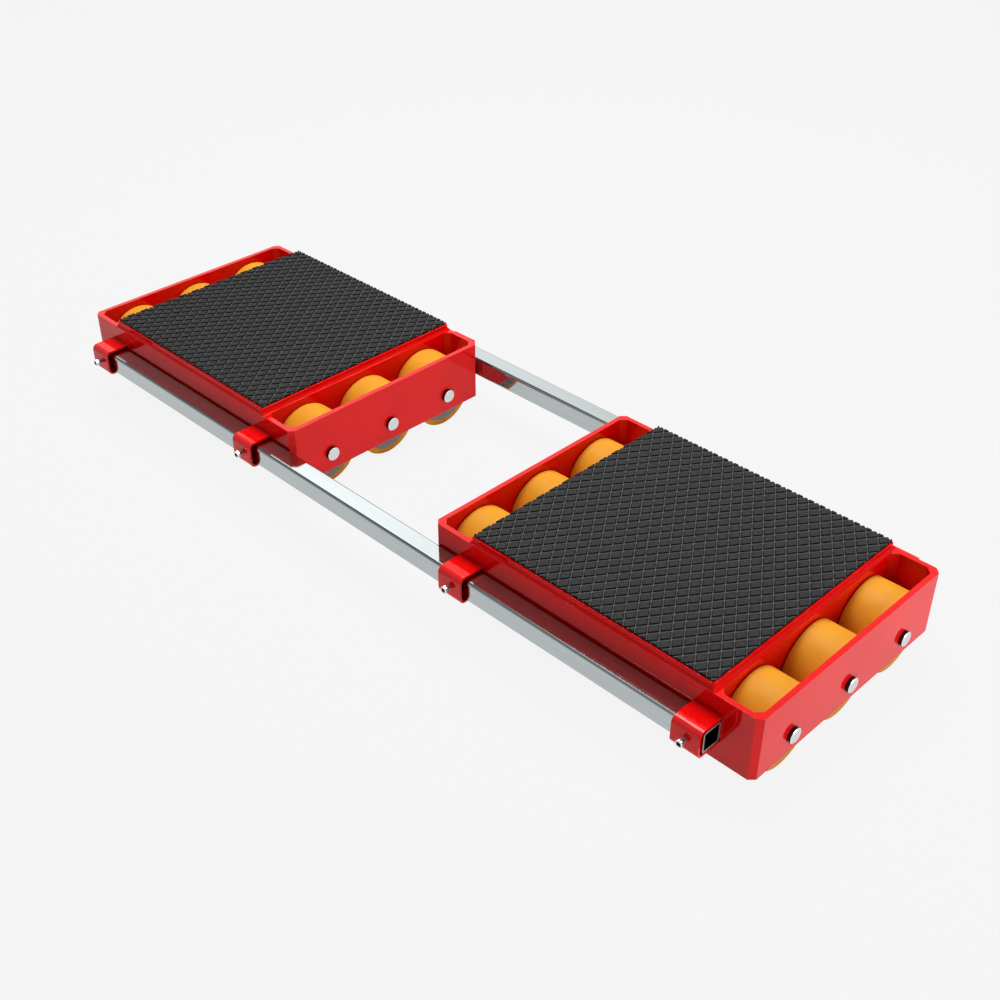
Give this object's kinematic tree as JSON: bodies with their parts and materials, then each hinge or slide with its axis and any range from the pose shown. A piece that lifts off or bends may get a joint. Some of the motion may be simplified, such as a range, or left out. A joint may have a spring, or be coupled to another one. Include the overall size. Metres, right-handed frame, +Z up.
{
  "type": "machine skate",
  "caption": "Low red roller skates for moving machines, joined by square guide bars clamped in side brackets, with rubber-topped decks and orange rollers in end pockets.",
  "frame": {"origin": "on the floor midway between the two skates and between the two guide bars", "axes": "+X along the guide bars to the right-hand skate, +Y to the back bar, +Z up"},
  "size_m": [1.1086, 0.3896, 0.11],
  "materials": {
    "red_paint": "gloss enamel",
    "tread_rubber": "matt, block tread",
    "orange_polyurethane": "cast, semi-gloss",
    "grey_core": "grey, satin",
    "bearing_steel": "ground",
    "spring_steel": "blackened",
    "zinc_steel": "bright zinc",
    "galvanised_steel": "smooth galvanised"
  },
  "bodies": {
    "left_skate": {"left_frame": "red_paint", "left_deck_plate": "red_paint", "left_rubber_pad": "tread_rubber", "left_guide_brackets": "red_paint", "left_axle_pins": "zinc_steel", "left_axle_washers": "zinc_steel", "left_retaining_rings": "spring_steel"},
    "right_skate": {"right_frame": "red_paint", "right_deck_plate": "red_paint", "right_rubber_pad": "tread_rubber", "right_guide_brackets": "red_paint", "right_axle_pins": "zinc_steel", "right_axle_washers": "zinc_steel", "right_retaining_rings": "spring_steel"},
    "front_bar": {"front_guide_bar": "galvanised_steel"},
    "back_bar": {"back_guide_bar": "galvanised_steel"},
    "left_inner_front_roller": {"left_inner_front_tyre": "orange_polyurethane", "left_inner_front_core": "grey_core", "left_inner_front_bearings": "bearing_steel"},
    "left_inner_middle_roller": {"left_inner_middle_tyre": "orange_polyurethane", "left_inner_middle_core": "grey_core", "left_inner_middle_bearings": "bearing_steel"},
    "left_inner_back_roller": {"left_inner_back_tyre": "orange_polyurethane", "left_inner_back_core": "grey_core", "left_inner_back_bearings": "bearing_steel"},
    "left_outer_front_roller": {"left_outer_front_tyre": "orange_polyurethane", "left_outer_front_core": "grey_core", "left_outer_front_bearings": "bearing_steel"},
    "left_outer_middle_roller": {"left_outer_middle_tyre": "orange_polyurethane", "left_outer_middle_core": "grey_core", "left_outer_middle_bearings": "bearing_steel"},
    "left_outer_back_roller": {"left_outer_back_tyre": "orange_polyurethane", "left_outer_back_core": "grey_core", "left_outer_back_bearings": "bearing_steel"},
    "left_inner_front_screw": {"left_inner_front_clamp_screw": "zinc_steel"},
    "left_inner_back_screw": {"left_inner_back_clamp_screw": "zinc_steel"},
    "left_outer_front_screw": {"left_outer_front_clamp_screw": "zinc_steel"},
    "left_outer_back_screw": {"left_outer_back_clamp_screw": "zinc_steel"},
    "right_inner_front_roller": {"right_inner_front_tyre": "orange_polyurethane", "right_inner_front_core": "grey_core", "right_inner_front_bearings": "bearing_steel"},
    "right_inner_middle_roller": {"right_inner_middle_tyre": "orange_polyurethane", "right_inner_middle_core": "grey_core", "right_inner_middle_bearings": "bearing_steel"},
    "right_inner_back_roller": {"right_inner_back_tyre": "orange_polyurethane", "right_inner_back_core": "grey_core", "right_inner_back_bearings": "bearing_steel"},
    "right_outer_front_roller": {"right_outer_front_tyre": "orange_polyurethane", "right_outer_front_core": "grey_core", "right_outer_front_bearings": "bearing_steel"},
    "right_outer_middle_roller": {"right_outer_middle_tyre": "orange_polyurethane", "right_outer_middle_core": "grey_core", "right_outer_middle_bearings": "bearing_steel"},
    "right_outer_back_roller": {"right_outer_back_tyre": "orange_polyurethane", "right_outer_back_core": "grey_core", "right_outer_back_bearings": "bearing_steel"},
    "right_inner_front_screw": {"right_inner_front_clamp_screw": "zinc_steel"},
    "right_inner_back_screw": {"right_inner_back_clamp_screw": "zinc_steel"},
    "right_outer_front_screw": {"right_outer_front_clamp_screw": "zinc_steel"},
    "right_outer_back_screw": {"right_outer_back_clamp_screw": "zinc_steel"}
  },
  "joints": [
    {"name": "right_skate_slide", "type": "slide", "parent": "left_skate", "child": "right_skate", "axis": [1, 0, 0], "range_m": [-0.235, 0]},
    {"name": "front_bar_slide", "type": "slide", "parent": "left_skate", "child": "front_bar", "axis": [1, 0, 0], "range_m": [-0.12, 0.12]},
    {"name": "back_bar_slide", "type": "slide", "parent": "left_skate", "child": "back_bar", "axis": [1, 0, 0], "range_m": [-0.12, 0.12]},
    {"name": "left_inner_front_roller_spin", "type": "hinge", "parent": "left_skate", "child": "left_inner_front_roller", "pos_m": [-0.1525, -0.096, 0.045], "axis": [1, 0, 0], "continuous": true},
    {"name": "left_inner_middle_roller_spin", "type": "hinge", "parent": "left_skate", "child": "left_inner_middle_roller", "pos_m": [-0.1525, 0, 0.045], "axis": [1, 0, 0], "continuous": true},
    {"name": "left_inner_back_roller_spin", "type": "hinge", "parent": "left_skate", "child": "left_inner_back_roller", "pos_m": [-0.1525, 0.096, 0.045], "axis": [1, 0, 0], "continuous": true},
    {"name": "left_outer_front_roller_spin", "type": "hinge", "parent": "left_skate", "child": "left_outer_front_roller", "pos_m": [-0.5205, -0.096, 0.045], "axis": [1, 0, 0], "continuous": true},
    {"name": "left_outer_middle_roller_spin", "type": "hinge", "parent": "left_skate", "child": "left_outer_middle_roller", "pos_m": [-0.5205, 0, 0.045], "axis": [1, 0, 0], "continuous": true},
    {"name": "left_outer_back_roller_spin", "type": "hinge", "parent": "left_skate", "child": "left_outer_back_roller", "pos_m": [-0.5205, 0.096, 0.045], "axis": [1, 0, 0], "continuous": true},
    {"name": "left_inner_front_screw_travel", "type": "slide", "parent": "left_skate", "child": "left_inner_front_screw", "axis": [0, -1, 0], "range_m": [0, 0.002]},
    {"name": "left_inner_back_screw_travel", "type": "slide", "parent": "left_skate", "child": "left_inner_back_screw", "axis": [0, 1, 0], "range_m": [0, 0.002]},
    {"name": "left_outer_front_screw_travel", "type": "slide", "parent": "left_skate", "child": "left_outer_front_screw", "axis": [0, -1, 0], "range_m": [0, 0.002]},
    {"name": "left_outer_back_screw_travel", "type": "slide", "parent": "left_skate", "child": "left_outer_back_screw", "axis": [0, 1, 0], "range_m": [0, 0.002]},
    {"name": "right_inner_front_roller_spin", "type": "hinge", "parent": "right_skate", "child": "right_inner_front_roller", "pos_m": [0.1525, -0.096, 0.045], "axis": [1, 0, 0], "continuous": true},
    {"name": "right_inner_middle_roller_spin", "type": "hinge", "parent": "right_skate", "child": "right_inner_middle_roller", "pos_m": [0.1525, 0, 0.045], "axis": [1, 0, 0], "continuous": true},
    {"name": "right_inner_back_roller_spin", "type": "hinge", "parent": "right_skate", "child": "right_inner_back_roller", "pos_m": [0.1525, 0.096, 0.045], "axis": [1, 0, 0], "continuous": true},
    {"name": "right_outer_front_roller_spin", "type": "hinge", "parent": "right_skate", "child": "right_outer_front_roller", "pos_m": [0.5205, -0.096, 0.045], "axis": [1, 0, 0], "continuous": true},
    {"name": "right_outer_middle_roller_spin", "type": "hinge", "parent": "right_skate", "child": "right_outer_middle_roller", "pos_m": [0.5205, 0, 0.045], "axis": [1, 0, 0], "continuous": true},
    {"name": "right_outer_back_roller_spin", "type": "hinge", "parent": "right_skate", "child": "right_outer_back_roller", "pos_m": [0.5205, 0.096, 0.045], "axis": [1, 0, 0], "continuous": true},
    {"name": "right_inner_front_screw_travel", "type": "slide", "parent": "right_skate", "child": "right_inner_front_screw", "axis": [0, -1, 0], "range_m": [0, 0.002]},
    {"name": "right_inner_back_screw_travel", "type": "slide", "parent": "right_skate", "child": "right_inner_back_screw", "axis": [0, 1, 0], "range_m": [0, 0.002]},
    {"name": "right_outer_front_screw_travel", "type": "slide", "parent": "right_skate", "child": "right_outer_front_screw", "axis": [0, -1, 0], "range_m": [0, 0.002]},
    {"name": "right_outer_back_screw_travel", "type": "slide", "parent": "right_skate", "child": "right_outer_back_screw", "axis": [0, 1, 0], "range_m": [0, 0.002]}
  ]
}
